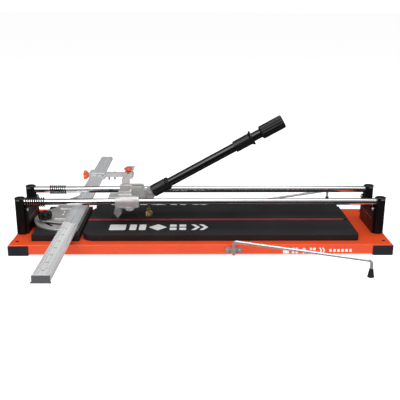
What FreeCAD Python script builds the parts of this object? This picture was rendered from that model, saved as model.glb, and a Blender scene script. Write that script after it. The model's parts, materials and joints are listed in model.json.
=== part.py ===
"""Two-rod manual tile cutter, built as an assembly of separate pieces.

Frame: +X to the right along the cut, +Y to the back, +Z up, millimetres. The origin is the
centre of the base tray at the level of the bench.
"""
import FreeCAD, Part
import math
import os
import Sketcher
from FreeCAD import Placement, Rotation, Vector

X_DIR = Vector(1, 0, 0)
Y_DIR = Vector(0, 1, 0)
Z_DIR = Vector(0, 0, 1)
NO_TURN = Rotation()
ALONG_X = Rotation(Y_DIR, 90)
ALONG_Y = Rotation(X_DIR, -90)

doc = FreeCAD.newDocument("TileCutter")
sheet = doc.addObject("Spreadsheet::Sheet", "Dims")

# Driving dimensions, in millimetres and degrees.
DRIVING = {
    # base tray, its corner feet and what lies on it
    "base_long": 1100, "base_deep": 336, "base_top": 32.6, "flange_low": 4, "steel": 2,
    "foot_long": 59, "foot_high": 28, "foot_proud": 3, "bench_hole_x": 532, "bench_hole_y": 138,
    "bench_hole_rad": 3, "mat_top": 51.6, "mat_left": -346, "mat_right": 460, "mat_edge": 137,
    "mat_inner": 5.2, "mat_corner": 36, "plinth_left": -491, "plinth_right": -353,
    "rib_left": -346, "rib_right": 444, "rib_half": 4.8, "rib_top": 54,
    # posts, end plates and guide rods
    "post_x": 535, "rod_y": 67, "rod_z": 130, "rod_rad": 10, "post_rad": 14.2, "post_top": 140.8,
    "cap_rad": 14.8, "cap_high": 3.2, "plate_face": 514, "plate_thick": 7.8, "plate_half": 73,
    "plate_top": 115, "plate_screw_z": 107,
    # bumper springs
    "coil_rad": 13, "wire_rad": 1.4, "coil_pitch": 6.4, "front_coil_x": -520.4, "rear_coil_x": -476,
    # carriage
    "sleeve_left": -253, "sleeve_right": -182, "sleeve_rad": 16.5, "belly_rad": 18.8,
    "bush_rad": 14, "bush_fit": 0.05, "bush_long": 22, "bridge_low": 120, "bridge_top": 143,
    "deck_top": 152, "ear_top": 163, "ear_in": 12.3, "ear_out": 20,
    "nose_left": -280, "nose_low": 121, "nose_top": 131, "nose_half": 27,
    "pivot_x": -186, "pivot_z": 127, "pivot_rad": 5, "fit": 0.05,
    "break_x": -254, "break_z": 106, "break_pin_rad": 3,
    # handle
    "handle_x": -145.8, "handle_z": 143.3, "handle_tilt": 29, "tube_rad": 13.5, "tube_bore": 11.5,
    "collar_rad": 16.5, "collar_long": 58, "guard_from": 284, "guard_rad": 17.5, "guard_long": 57,
    "guard_lip_rad": 22.5, "grip_from": 370, "grip_long": 78, "grip_rad": 20.5,
    "wheel_x": -159, "wheel_z": 71, "wheel_rad": 12, "axle_rad": 2,
    # swivelling fence and its protractor
    "swivel_x": -392, "swivel_y": 8, "dial_rad": 120, "dial_floor": 3, "rim_wide": 8, "rim_top": 58.6,
    "slot_rad": 88, "slot_half": 4.4, "wing_low": 59, "wing_top": 63, "tongue_low": 55,
    "ruler_left": -408, "ruler_right": -366, "rail_right": -362.5, "ruler_low": 59, "ruler_top": 72,
    "ruler_front": -479, "end_cap": 4, "end_cap_low": 55.5, "ruler_rear": 775, "scale_top": 75.5,
    "lock_x": -474.2, "lock_y": -23.5,
    # sliding stop on the fence
    "stop_y": 497, "stop_half": 28, "bar_right": -284, "stop_arm_left": -281.5, "stop_arm_right": -251.5,
    "stop_arm_front": 362, "stop_arm_rear": 572, "stop_arm_low": 77, "stop_arm_top": 81.5,
    "arm_stud_y": 475,
    # swing-out side arms
    "arm_wire_rad": 4, "arm_high": 46, "arm_reach": 383, "front_arm_x": 93, "rear_arm_x": 118,
    "arm_off": 178, "front_arm_turn": -22.4, "rear_arm_turn": 25.2,
}
for row, (alias, value) in enumerate(DRIVING.items(), start=1):
    sheet.set(f"A{row}", alias)
    sheet.set(f"B{row}", str(value))
    sheet.setAlias(f"B{row}", alias)
doc.recompute()


class Size:
    """A number that also carries the sheet expression it comes from."""

    def __init__(self, value, text):
        self.value = float(value)
        self.text = text

    @staticmethod
    def of(other):
        return other if isinstance(other, Size) else Size(other, repr(float(other)))

    def join(self, other, sign, value):
        return Size(value, f"({self.text} {sign} {Size.of(other).text})")

    def __add__(self, other):
        return self.join(other, "+", self.value + Size.of(other).value)

    def __sub__(self, other):
        return self.join(other, "-", self.value - Size.of(other).value)

    def __mul__(self, other):
        return self.join(other, "*", self.value * Size.of(other).value)

    def __truediv__(self, other):
        return self.join(other, "/", self.value / Size.of(other).value)

    def __neg__(self):
        return Size(-self.value, f"(-1 * {self.text})")


class Sheet:
    """Attribute access to the aliases of the sheet."""

    def __getattr__(self, alias):
        return Size(sheet.get(alias), f"Dims.{alias}")


d = Sheet()
subparts = []


def bind(obj, prop, size):
    """Set a property and tie it to the sheet when its size comes from there."""
    size = Size.of(size)
    head, dot, tail = prop.partition(".")
    if "Dims." in size.text:
        obj.setExpression(prop, size.text)
    elif not dot:
        setattr(obj, prop, size.value)


def place(obj, corner, turn=NO_TURN):
    """Put an object at a corner or centre that may come from the sheet."""
    sizes = [Size.of(c) for c in corner]
    obj.Placement = Placement(Vector(*[s.value for s in sizes]), turn)
    for axis, size in zip("xyz", sizes):
        if "Dims." in size.text:
            obj.setExpression(f"Placement.Base.{axis}", size.text)
    return obj


def box(low, size):
    obj = doc.addObject("Part::Box", "Box")
    for prop, value in zip(("Length", "Width", "Height"), size):
        bind(obj, prop, value)
    return place(obj, low)


def cylinder(radius, height, base, turn=NO_TURN, sweep=360):
    obj = doc.addObject("Part::Cylinder", "Cylinder")
    bind(obj, "Radius", radius)
    bind(obj, "Height", height)
    obj.Angle = sweep
    return place(obj, base, turn)


def cone(low_radius, top_radius, height, base, turn=NO_TURN):
    obj = doc.addObject("Part::Cone", "Cone")
    bind(obj, "Radius1", low_radius)
    bind(obj, "Radius2", top_radius)
    bind(obj, "Height", height)
    return place(obj, base, turn)


def fuse(*shapes):
    obj = doc.addObject("Part::MultiFuse", "Fusion")
    obj.Shapes = list(shapes)
    return obj


def cut(base, *tools):
    for tool in tools:
        obj = doc.addObject("Part::Cut", "Cut")
        obj.Base = base
        obj.Tool = tool
        base = obj
    return base


def common(base, tool):
    obj = doc.addObject("Part::MultiCommon", "Common")
    obj.Shapes = [base, tool]
    return obj


def round_edges(base, radius, wanted):
    """Fillet the edges of a Part object for which wanted(edge) is true."""
    doc.recompute()
    obj = doc.addObject("Part::Fillet", "Fillet")
    obj.Base = base
    numbers = [i for i, edge in enumerate(base.Shape.Edges, start=1) if wanted(edge)]
    obj.Edges = [(number, radius, radius) for number in numbers]
    return obj


def keep(label, obj):
    """Name a finished piece and put it on the list of pieces to write."""
    obj.Label = label
    subparts.append(obj)
    return obj


def group(label, pieces):
    """One node of several separate, identical solids."""
    obj = doc.addObject("Part::Compound", "Group")
    obj.Links = list(pieces)
    return keep(label, obj)


def new_body(label):
    body = doc.addObject("PartDesign::Body", "Body")
    return keep(label, body)


def plane_of(body, role):
    return next(o for o in body.Origin.OriginFeatures if o.Role == role)


def new_sketch(body, role, offset=0.0):
    sketch = body.newObject("Sketcher::SketchObject", "Sketch")
    sketch.AttachmentSupport = [(plane_of(body, role), "")]
    sketch.MapMode = "FlatFace"
    offset = Size.of(offset)
    sketch.AttachmentOffset = Placement(Vector(0, 0, offset.value), NO_TURN)
    if "Dims." in offset.text:
        sketch.setExpression("AttachmentOffset.Base.z", offset.text)
    return sketch


def pin_point(sketch, geometry, point, spot):
    """Hold one sketch point at its two distances from the sketch origin."""
    for kind, size in zip(("DistanceX", "DistanceY"), spot):
        size = Size.of(size)
        row = sketch.addConstraint(Sketcher.Constraint(kind, -1, 1, geometry, point, size.value))
        if "Dims." in size.text:
            sketch.setExpression(f"Constraints[{row}]", size.text)


def draw_outline(sketch, points):
    """A closed outline of straight lines through points, all held by dimensions."""
    flat = [Vector(Size.of(x).value, Size.of(y).value, 0) for x, y in points]
    first = sketch.GeometryCount
    count = len(points)
    for i in range(count):
        sketch.addGeometry(Part.LineSegment(flat[i], flat[(i + 1) % count]), False)
    for i in range(count):
        following = first + (i + 1) % count
        sketch.addConstraint(Sketcher.Constraint("Coincident", first + i, 2, following, 1))
    for i in range(count):
        pin_point(sketch, first + i, 1, points[i])


def draw_circle(sketch, centre, radius):
    radius = Size.of(radius)
    spot = Vector(Size.of(centre[0]).value, Size.of(centre[1]).value, 0)
    row = sketch.addGeometry(Part.Circle(spot, Z_DIR, radius.value), False)
    pin_point(sketch, row, 3, centre)
    held = sketch.addConstraint(Sketcher.Constraint("Radius", row, radius.value))
    if "Dims." in radius.text:
        sketch.setExpression(f"Constraints[{held}]", radius.text)


def pad(body, sketch, length, middle=False, back=False):
    feature = body.newObject("PartDesign::Pad", "Pad")
    feature.Profile = sketch
    bind(feature, "Length", length)
    feature.Midplane = middle
    feature.Reversed = back
    doc.recompute()
    return feature


def pocket(body, sketch, length, middle=False, back=False):
    feature = body.newObject("PartDesign::Pocket", "Pocket")
    feature.Profile = sketch
    bind(feature, "Length", length)
    feature.Midplane = middle
    feature.Reversed = back
    before = body.Shape.Volume
    doc.recompute()
    if body.Shape.Volume > before - 1e-6:
        raise RuntimeError(f"{body.Label}: {feature.Name} cuts nothing")
    return feature


def dress(body, kind, size, wanted):
    """Fillet or chamfer the edges of a body for which wanted(edge) is true."""
    tip = body.Tip
    names = [f"Edge{i}" for i, edge in enumerate(tip.Shape.Edges, start=1) if wanted(edge)]
    feature = body.newObject(f"PartDesign::{kind}", kind)
    feature.Base = (tip, names)
    setattr(feature, "Radius" if kind == "Fillet" else "Size", size)
    doc.recompute()
    return feature


def at_height(z, slack=0.01):
    """Edges that lie level at the height z."""
    def test(edge):
        bounds = edge.BoundBox
        return abs(bounds.ZMin - z) < slack and abs(bounds.ZMax - z) < slack
    return test


def upright(edge):
    bounds = edge.BoundBox
    return bounds.XLength < 0.01 and bounds.YLength < 0.01


def mirrored(values):
    """Both signs of each value pair, as (x, y) corners."""
    x, y = values
    return [(-x, -y), (x, -y), (x, y), (-x, y)]


# ---------------------------------------------------------------- base, feet, mats and rib

def make_base_tray():
    """Folded steel tray, open below, notched at the corners for the feet."""
    half_x, half_y = d.base_long / 2, d.base_deep / 2
    body = new_body("base_tray")
    outline = new_sketch(body, "XY_Plane", d.flange_low)
    draw_outline(outline, mirrored((half_x, half_y)))
    pad(body, outline, d.base_top - d.flange_low)
    dress(body, "Fillet", 3.0, at_height(d.base_top.value))
    hollow = new_sketch(body, "XY_Plane", d.flange_low)
    draw_outline(hollow, mirrored((half_x - d.steel, half_y - d.steel)))
    pocket(body, hollow, d.base_top - d.flange_low - d.steel, back=True)
    notches = new_sketch(body, "XY_Plane", d.flange_low)
    reach = d.foot_long - d.foot_proud + 0.3
    for side in (-1, 1):
        for depth in (-1, 1):
            x_in, x_out = (half_x - reach) * side, (half_x + 1) * side
            y_in, y_out = (half_y - reach) * depth, (half_y + 1) * depth
            draw_outline(notches, [(x_in, y_in), (x_out, y_in), (x_out, y_out), (x_in, y_out)])
    pocket(body, notches, d.foot_high - d.flange_low + 0.3, back=True)
    holes = new_sketch(body, "XY_Plane", d.base_top)
    for x, y in mirrored((d.bench_hole_x, d.bench_hole_y)):
        draw_circle(holes, (x, y), d.bench_hole_rad)
    for x, y in mirrored((d.post_x, d.rod_y)):
        draw_circle(holes, (x, y), 4.3)
    pocket(body, holes, d.steel * 2)


def make_feet():
    """Four moulded corner feet under the tray, each with a hole for a bench screw."""
    names = ("foot_front_left", "foot_front_right", "foot_rear_right", "foot_rear_left")
    out_x = d.base_long / 2 + d.foot_proud
    out_y = d.base_deep / 2 + d.foot_proud
    for name, (x, y) in zip(names, mirrored((1, 1))):
        body = new_body(name)
        sketch = new_sketch(body, "XY_Plane")
        in_x, in_y = out_x - d.foot_long, out_y - d.foot_long
        draw_outline(sketch, [(in_x * x, in_y * y), (out_x * x, in_y * y),
                              (out_x * x, out_y * y), (in_x * x, out_y * y)])
        pad(body, sketch, d.foot_high)
        dress(body, "Fillet", 4.0, upright)
        dress(body, "Chamfer", 1.2, at_height(0))
        hole = new_sketch(body, "XY_Plane", d.foot_high)
        draw_circle(hole, (d.bench_hole_x * x, d.bench_hole_y * y), d.bench_hole_rad)
        pocket(body, hole, d.foot_high + 1)


def upright_at(x, y):
    """Selects the upright edge at one corner of a plan."""
    return lambda e: (e.BoundBox.XLength < 0.01 and e.BoundBox.YLength < 0.01
                      and abs(e.BoundBox.XMin - x.value) < 0.1 and abs(e.BoundBox.YMin - y.value) < 0.1)


def make_mats():
    """Two long rubber mats beside the rib, and the plinth under the protractor."""
    for name, side in (("mat_front", -1), ("mat_rear", 1)):
        body = new_body(name)
        sketch = new_sketch(body, "XY_Plane", d.base_top)
        near, far = d.mat_inner * side, d.mat_edge * side
        draw_outline(sketch, [(d.mat_left, near), (d.mat_right, near), (d.mat_right, far),
                              (d.mat_left, far)])
        pad(body, sketch, d.mat_top - d.base_top)
        dress(body, "Fillet", d.mat_corner.value, upright_at(d.mat_left, far))
        dress(body, "Fillet", 9, upright_at(d.mat_right, far))
        dress(body, "Fillet", 1.5, at_height(d.mat_top.value))


def ring_slice(outer, inner, low, high, start, sweep):
    """Part of a flat ring about the fence swivel, from start degrees through sweep degrees."""
    turn = Rotation(Z_DIR, start)
    spot = (d.swivel_x, d.swivel_y, low)
    return cut(cylinder(outer, high - low, spot, turn, sweep),
               cylinder(inner, high - low, spot, turn, sweep))


def make_plinth():
    """Block under the protractor, grooved for the head of the lock stud."""
    body = box((d.plinth_left, -d.mat_edge, d.base_top),
               (d.plinth_right - d.plinth_left, d.mat_edge * 2, d.mat_top - d.base_top))
    groove = ring_slice(d.slot_rad + 9, d.slot_rad - 9, d.mat_top - 9, d.mat_top + 1, 144, 94)
    bolt_room = cylinder(11, 12, (d.swivel_x, d.swivel_y, d.mat_top - 8))
    keep("protractor_plinth", cut(body, groove, bolt_room))


def make_rib():
    """Breaking rib along the cut line, with a rounded crest."""
    body = new_body("breaking_rib")
    sketch = new_sketch(body, "YZ_Plane", d.rib_left)
    half = d.rib_half
    draw_outline(sketch, [(-half, d.base_top), (half, d.base_top), (half, d.rib_top - 5),
                          (2.2, d.rib_top), (-2.2, d.rib_top), (-half, d.rib_top - 5)])
    pad(body, sketch, d.rib_right - d.rib_left)
    dress(body, "Fillet", 1.4, at_height(d.rib_top.value))


# ---------------------------------------------------------------- posts, rods and springs

def make_post(name, side, depth):
    """Post with a flat inner face: holds one rod end, a foot bolt and a plate screw."""
    x, y = d.post_x * side, d.rod_y * depth
    height = d.post_top - d.base_top
    column = cylinder(d.post_rad, height, (x, y, d.base_top))
    face = d.plate_face + d.plate_thick
    depth_x = d.post_x - face
    low_x = face if side > 0 else -d.post_x
    flat = box((low_x, y - d.post_rad, d.base_top), (depth_x, d.post_rad * 2, height))
    start = face - 1 if side > 0 else -d.post_x - 0.2
    rod_bore = cylinder(d.rod_rad, depth_x + 1.2, (start, y, d.rod_z), ALONG_X)
    foot_bore = cylinder(4, 32, (x, y, d.base_top - 1))
    screw_start = face - 1 if side > 0 else -face - 11
    screw_bore = cylinder(3, 12, (screw_start, y, d.plate_screw_z), ALONG_X)
    shaved_x = face - 5 if side > 0 else -face
    shaved = box((shaved_x, y - d.cap_rad, d.base_top - 1), (5, d.cap_rad * 2, height + 2))
    keep(name, cut(fuse(column, flat), rod_bore, foot_bore, screw_bore, shaved))


def make_caps():
    """Lids on the posts: discs with a rounded upper edge."""
    top = (d.post_top + d.cap_high).value
    caps = []
    for x, y in mirrored((1, 1)):
        disc = cylinder(d.cap_rad, d.cap_high, (d.post_x * x, d.rod_y * y, d.post_top))
        caps.append(round_edges(disc, 1.8, at_height(top)))
    group("post_caps", caps)


def make_end_plate(name, side):
    """Plate that joins the two posts of one end below the rods."""
    low_x = d.plate_face if side > 0 else -(d.plate_face + d.plate_thick)
    low = (low_x, -d.plate_half, d.base_top)
    plate = box(low, (d.plate_thick, d.plate_half * 2, d.plate_top - d.base_top))
    plate = round_edges(plate, 6, lambda e: e.BoundBox.YLength < 0.01 and e.BoundBox.ZLength < 0.01
                        and e.BoundBox.ZMin > d.base_top.value + 1)
    bores = [cylinder(3.1, d.plate_thick + 2, (low_x - 1, d.rod_y * s, d.plate_screw_z), ALONG_X)
             for s in (-1, 1)]
    keep(name, cut(plate, *bores))


def make_supports():
    for side, hand in ((-1, "left"), (1, "right")):
        for depth, row in ((-1, "front"), (1, "rear")):
            make_post(f"post_{row}_{hand}", side, depth)
        make_end_plate(f"end_plate_{hand}", side)
    make_caps()


def make_support_screws():
    """Bolts up through the tray into the posts, and button screws through the end plates."""
    bolts = []
    screws = []
    for x, y in mirrored((1, 1)):
        spot_x, spot_y = d.post_x * x, d.rod_y * y
        under = d.base_top - d.steel
        shank = cylinder(4, 32, (spot_x, spot_y, under))
        head = cylinder(7, 6, (spot_x, spot_y, under - 6))
        bolts.append(fuse(shank, head))
        face = d.plate_face * x
        turn = ALONG_X if x > 0 else Rotation(Y_DIR, -90)
        start = face - 3 if x > 0 else face + 3
        button = cone(4.2, 5.6, 3, (start, spot_y, d.plate_screw_z), turn)
        stem = cylinder(3, 18.4, (face, spot_y, d.plate_screw_z), turn)
        socket_start = face - 4 if x > 0 else face + 4
        socket = cylinder(2, 3, (socket_start, spot_y, d.plate_screw_z), turn)
        screws.append(cut(fuse(button, stem), socket))
    group("post_bolts", bolts)
    group("end_plate_screws", screws)


def make_rods():
    for name, depth in (("guide_rod_front", -1), ("guide_rod_rear", 1)):
        rod = cylinder(d.rod_rad, d.post_x * 2, (-d.post_x, d.rod_y * depth, d.rod_z), ALONG_X)
        keep(name, rod)


def make_spring(name, left, depth, turns):
    """Round-wire bumper coil, loose on its rod."""
    body = new_body(name)
    sketch = new_sketch(body, "XZ_Plane")
    draw_circle(sketch, (d.coil_rad, 0), d.wire_rad)
    coil = body.newObject("PartDesign::AdditiveHelix", "Helix")
    coil.Profile = sketch
    coil.ReferenceAxis = (sketch, ["V_Axis"])
    coil.Mode = 0
    bind(coil, "Pitch", d.coil_pitch)
    bind(coil, "Height", d.coil_pitch * turns)
    doc.recompute()
    place(body, (left + d.wire_rad, d.rod_y * depth, d.rod_z), ALONG_X)


# ---------------------------------------------------------------- carriage

def make_carriage():
    """Cast bridge on two sleeves, with ears for the handle and lugs for the breaker."""
    span = d.sleeve_right - d.sleeve_left
    parts = []
    for depth in (-1, 1):
        y = d.rod_y * depth
        parts.append(make_barrel(y, span))
        parts.append(cone(12, 18, 12, (d.sleeve_left + 42, y, d.rod_z - d.belly_rad - 6)))
    width = d.rod_y * 2
    bridge_right = d.pivot_x - 20
    parts.append(box((d.sleeve_left + 3, -d.rod_y, d.bridge_low),
                     (bridge_right - d.sleeve_left - 3, width, d.bridge_top - d.bridge_low)))
    parts.append(box((d.sleeve_left + 5, -34, d.bridge_top - 2), (40, 68, d.deck_top - d.bridge_top + 2)))
    parts.append(box((d.nose_left, -d.nose_half, d.nose_low),
                     (30, d.nose_half * 2, d.nose_top - d.nose_low)))
    for side in (-1, 1):
        low_y = 6.4 if side > 0 else -12.4
        parts.append(box((d.break_x - 9, low_y, d.break_z - 4), (18, 6, d.nose_low - d.break_z + 6)))
        parts.append(cylinder(9, 6, (d.break_x, low_y, d.break_z), ALONG_Y))
    blank = fuse(*parts)
    ears = [make_ear(side) for side in (-1, 1)]
    rod_room = [cylinder(d.bush_rad, span + 2, (d.sleeve_left - 1, d.rod_y * s, d.rod_z), ALONG_X)
                for s in (-1, 1)]
    pin_room = cylinder(d.pivot_rad, 60, (d.pivot_x, -30, d.pivot_z), ALONG_Y)
    breaker_room = cylinder(d.break_pin_rad, 40, (d.break_x, -20, d.break_z), ALONG_Y)
    slot = box((d.sleeve_left + 41, -6, d.deck_top - 12), (16, 12, 20))
    body = cut(fuse(blank, *ears), *rod_room, pin_room, breaker_room, slot)
    keep("carriage_body", body)


def make_barrel(y, span):
    """Outside of one sleeve: a drum that swells between two tapered ends."""
    flank = span * 0.22
    belly = span - flank * 2
    near = cone(d.sleeve_rad, d.belly_rad, flank, (d.sleeve_left, y, d.rod_z), ALONG_X)
    middle = cylinder(d.belly_rad, belly, (d.sleeve_left + flank, y, d.rod_z), ALONG_X)
    far = cone(d.belly_rad, d.sleeve_rad, flank, (d.sleeve_right - flank, y, d.rod_z), ALONG_X)
    return fuse(near, middle, far)


def make_ear(side):
    """One cheek beside the handle lever, five-sided with a sloping front."""
    body = doc.addObject("PartDesign::Body", "Ear")
    centre = (d.ear_in + d.ear_out) / 2 * side
    sketch = new_sketch(body, "XZ_Plane", -centre)
    draw_outline(sketch, [(d.pivot_x - 30, d.bridge_low), (d.pivot_x - 30, d.ear_top - 10),
                          (d.pivot_x - 20, d.ear_top), (d.pivot_x + 10, d.ear_top),
                          (d.pivot_x + 19, d.pivot_z + 12), (d.pivot_x + 14, d.pivot_z - 13),
                          (d.pivot_x - 8, d.pivot_z - 15)])
    pad(body, sketch, d.ear_out - d.ear_in, middle=True)
    return body


def make_bushes():
    """Two plain bushes pressed into each sleeve."""
    bushes = []
    for depth in (-1, 1):
        for start in (d.sleeve_left + 0.5, d.sleeve_right - d.bush_long - 0.5):
            spot = (start, d.rod_y * depth, d.rod_z)
            bushes.append(cut(cylinder(d.bush_rad, d.bush_long, spot, ALONG_X),
                              cylinder(d.rod_rad + d.bush_fit, d.bush_long, spot, ALONG_X)))
    group("rod_bushes", bushes)


def headed_pin(label, radius, x, z, half, head_rad, head_thick):
    """Cross pin along Y with a head in front and a nut behind."""
    shank = cylinder(radius, half * 2, (x, -half, z), ALONG_Y)
    front = cylinder(head_rad, head_thick, (x, -half - head_thick, z), ALONG_Y)
    back = cylinder(head_rad, head_thick, (x, half, z), ALONG_Y)
    keep(label, fuse(shank, front, back))


# ---------------------------------------------------------------- handle and scoring wheel

def along_handle(distance):
    """A point on the handle's axis, from the mouth of its socket."""
    tilt = math.radians(d.handle_tilt.value)
    return (d.handle_x + distance * math.cos(tilt), 0, d.handle_z + distance * math.sin(tilt))


def handle_turn():
    return Rotation(Y_DIR, 90 - d.handle_tilt.value)


def handle_cylinder(radius, start, length):
    return cylinder(radius, length, along_handle(start), handle_turn())


def make_lever():
    """Cast lever: pivot eye, spigot for the tube and a leg that holds the wheel stem."""
    half = d.ear_in - 0.3
    eye = cylinder(15, half * 2, (d.pivot_x, -half, d.pivot_z), ALONG_Y)
    body = doc.addObject("PartDesign::Body", "LeverArm")
    sketch = new_sketch(body, "XZ_Plane")
    draw_outline(sketch, [(d.pivot_x - 4, d.pivot_z + 14), (d.handle_x - 8, d.handle_z + 14.5),
                          (d.handle_x + 7, d.handle_z - 13.5), (d.wheel_x + 10, d.pivot_z - 12),
                          (d.wheel_x + 10, d.pivot_z - 22), (d.wheel_x - 9, d.pivot_z - 22),
                          (d.wheel_x - 14, d.pivot_z - 14.5), (d.pivot_x, d.pivot_z - 15)])
    pad(body, sketch, 20, middle=True)
    spigot = handle_cylinder(d.tube_bore, -10, 44)
    bore = cylinder(d.pivot_rad + d.fit, 60, (d.pivot_x, -30, d.pivot_z), ALONG_Y)
    stem_room = cylinder(4.5, 30, (d.wheel_x, 0, d.pivot_z - 30))
    keep("handle_lever", cut(fuse(eye, body, spigot), bore, stem_room))


def make_handle():
    """Tube with its collars and the fluted end grip."""
    tube = cut(handle_cylinder(d.tube_rad, 0, 436), handle_cylinder(d.tube_bore, -1, 438))
    keep("handle_tube", tube)
    collar = handle_cylinder(d.collar_rad, 0, d.collar_long)
    keep("handle_collar", cut(collar, handle_cylinder(d.tube_rad, -1, d.collar_long + 2)))
    guard = handle_cylinder(d.guard_rad, d.guard_from.value, d.guard_long)
    lip_start = (d.guard_from + d.guard_long).value
    flare = cone(d.guard_rad, d.guard_lip_rad, 6, along_handle(lip_start - 6), handle_turn())
    lip = handle_cylinder(d.guard_lip_rad, lip_start, 3)
    bore = handle_cylinder(d.tube_rad, d.guard_from.value - 1, d.guard_long + 6)
    keep("hand_guard", cut(fuse(guard, flare, lip), bore))
    make_grip()


def make_grip():
    """End grip: a drum with sixteen flutes, bored to push over the tube."""
    body = new_body("end_grip")
    sketch = new_sketch(body, "XY_Plane")
    draw_circle(sketch, (0, 0), d.grip_rad)
    pad(body, sketch, d.grip_long)
    dress(body, "Fillet", 3.0, lambda e: e.BoundBox.ZLength < 0.01)
    flute = new_sketch(body, "XY_Plane", 9)
    draw_circle(flute, (d.grip_rad + 1.2, 0), 2.6)
    groove = pocket(body, flute, d.grip_long - 18, back=True)
    ring = body.newObject("PartDesign::PolarPattern", "Flutes")
    ring.Originals = [groove]
    ring.Axis = (sketch, ["N_Axis"])
    ring.Angle = 360
    ring.Occurrences = 16
    body.Tip = ring
    doc.recompute()
    bore = new_sketch(body, "XY_Plane")
    draw_circle(bore, (0, 0), d.tube_rad)
    pocket(body, bore, d.grip_long - 10, back=True)
    spot = along_handle(d.grip_from.value)
    place(body, spot, handle_turn())


def make_wheel_holder():
    """Brass stem with a fork of two round cheeks for the wheel's axle."""
    stem_low = d.wheel_z + d.wheel_rad + 0.8
    stem = cylinder(4.5, d.pivot_z - 12 - stem_low, (d.wheel_x, 0, stem_low))
    block = box((d.wheel_x - 6, -4.6, stem_low), (12, 9.2, 7))
    cheeks = []
    for low_y in (-4.6, 1.6):
        cheeks.append(cylinder(7, 3, (d.wheel_x, low_y, d.wheel_z), ALONG_Y))
        cheeks.append(box((d.wheel_x - 5, low_y, d.wheel_z), (10, 3, d.wheel_rad + 1.6)))
    bore = cylinder(d.axle_rad, 20, (d.wheel_x, -10, d.wheel_z), ALONG_Y)
    keep("wheel_holder", cut(fuse(stem, block, *cheeks), bore))


def make_wheel():
    """Scoring wheel with a V edge, and the axle it spins on."""
    body = new_body("scoring_wheel")
    sketch = new_sketch(body, "XZ_Plane")
    bore = d.axle_rad + d.fit
    draw_outline(sketch, [(bore, -1.3), (d.wheel_rad - 2, -1.3), (d.wheel_rad, 0),
                          (d.wheel_rad - 2, 1.3), (bore, 1.3)])
    disc = body.newObject("PartDesign::Revolution", "Revolution")
    disc.Profile = sketch
    disc.ReferenceAxis = (sketch, ["V_Axis"])
    disc.Angle = 360
    doc.recompute()
    place(body, (d.wheel_x, 0, d.wheel_z), ALONG_Y)
    axle = cylinder(d.axle_rad, 9.2, (d.wheel_x, -4.6, d.wheel_z), ALONG_Y)
    heads = [cylinder(3.4, 1.2, (d.wheel_x, y, d.wheel_z), ALONG_Y) for y in (-5.8, 4.6)]
    keep("wheel_axle", fuse(axle, *heads))


def make_breaker():
    """Pointed breaker foot that hangs from a pin under the carriage nose."""
    body = doc.addObject("PartDesign::Body", "FootBlock")
    sketch = new_sketch(body, "XZ_Plane")
    low = d.break_z - 46
    draw_outline(sketch, [(d.break_x - 8, low + 34), (d.break_x - 12.5, low + 17), (d.break_x, low),
                          (d.break_x + 12.5, low + 17), (d.break_x + 8, low + 34)])
    pad(body, sketch, 28, middle=True)
    neck = box((d.break_x - 8, -6, low + 30), (16, 12, 16))
    eye = cylinder(8, 12, (d.break_x, -6, d.break_z), ALONG_Y)
    bore = cylinder(d.break_pin_rad + d.fit, 20, (d.break_x, -10, d.break_z), ALONG_Y)
    keep("breaker_foot", cut(fuse(body, neck, eye), bore))


# ---------------------------------------------------------------- protractor and fence

def make_protractor():
    """Cast dial with a raised rim, an arc slot and the bore for the swivel bolt."""
    spot = (d.swivel_x, d.swivel_y, d.mat_top)
    disc = cylinder(d.dial_rad, d.rim_top - d.mat_top, spot)
    recess = cylinder(d.dial_rad - d.rim_wide, 20,
                      (d.swivel_x, d.swivel_y, d.mat_top + d.dial_floor))
    trim = box((d.rail_right + 1, -200, d.mat_top - 1), (200, 400, 40))
    slot = ring_slice(d.slot_rad + d.slot_half, d.slot_rad - d.slot_half,
                      d.mat_top - 1, d.mat_top + 9, 148, 86)
    bore = cylinder(5, 20, (d.swivel_x, d.swivel_y, d.mat_top - 5))
    keep("protractor_dial", cut(disc, recess, trim, slot, bore))
    bolt = fuse(cylinder(5, d.wing_low - d.mat_top - 0.4, spot),
                cylinder(9, 5, (d.swivel_x, d.swivel_y, d.mat_top - 5)))
    keep("swivel_bolt", bolt)


def make_fence_wing():
    """Cast wing that carries the ruler, and its tongue over the swivel bolt."""
    body = doc.addObject("PartDesign::Body", "WingPlate")
    sketch = new_sketch(body, "XY_Plane", d.wing_low)
    draw_outline(sketch, [(d.ruler_left, -62), (d.ruler_left - 34, -54), (d.lock_x - 6, d.lock_y - 19),
                          (d.lock_x - 15, d.lock_y), (d.lock_x - 12, 43), (-462, 105), (-440, 190),
                          (d.ruler_left, 236)])
    pad(body, sketch, d.wing_top - d.wing_low)
    tongue = box((d.ruler_left - 30, -40, d.tongue_low), (72, 92, d.wing_low - d.tongue_low))
    riser = box((d.ruler_left - 30, -40, d.tongue_low), (29.8, 92, d.wing_top - d.tongue_low))
    ribs = [box((d.ruler_left - 38, y, d.wing_top - 0.5), (38, 4, 4.5)) for y in (-28, 70, 150)]
    swivel = cylinder(d.fit + 5, 4.2, (d.swivel_x, d.swivel_y, d.tongue_low - 0.1))
    stud = cylinder(4.05, 20, (d.lock_x, d.lock_y, d.wing_low - 5))
    screws = [cylinder(1.8, 3, (x, y, d.wing_top - 3)) for x, y in wing_screw_spots()]
    keep("fence_wing", cut(fuse(body, tongue, riser, *ribs), swivel, stud, *screws))


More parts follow.
